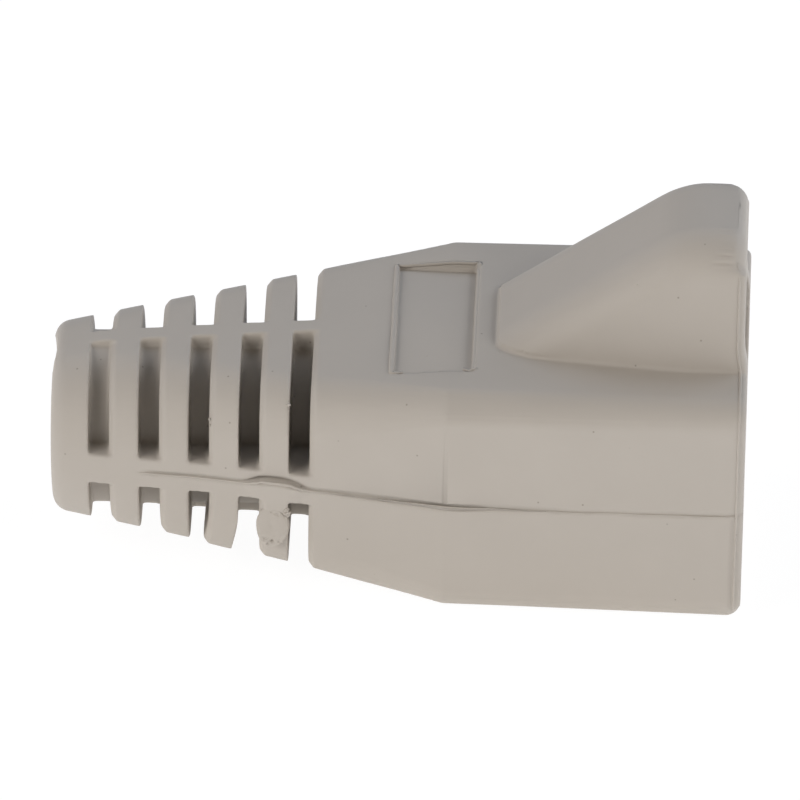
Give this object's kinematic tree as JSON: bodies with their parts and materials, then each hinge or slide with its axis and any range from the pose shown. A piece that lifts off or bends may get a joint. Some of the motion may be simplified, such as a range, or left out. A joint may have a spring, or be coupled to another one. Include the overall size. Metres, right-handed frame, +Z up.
{
  "type": "strain relief boot",
  "caption": "Soft moulded strain relief boot for a modular plug: a ribbed, flexible neck with a round cable bore that widens into a square plug sleeve with a sloping latch hood.",
  "frame": {"origin": "middle of the flat bottom the boot rests on: half way along its length and width, at its lowest level", "axes": "+X along the cable axis, out of the mouth that takes the plug; +Y across the boot; +Z up, out of the side with the latch hood"},
  "size_m": [0.0274, 0.014, 0.0149],
  "materials": {
    "moulded_pvc": "warm light grey soft plasticised PVC with a fine matte mould texture"
  },
  "bodies": {
    "root": {"boot": "moulded_pvc"}
  },
  "joints": []
}
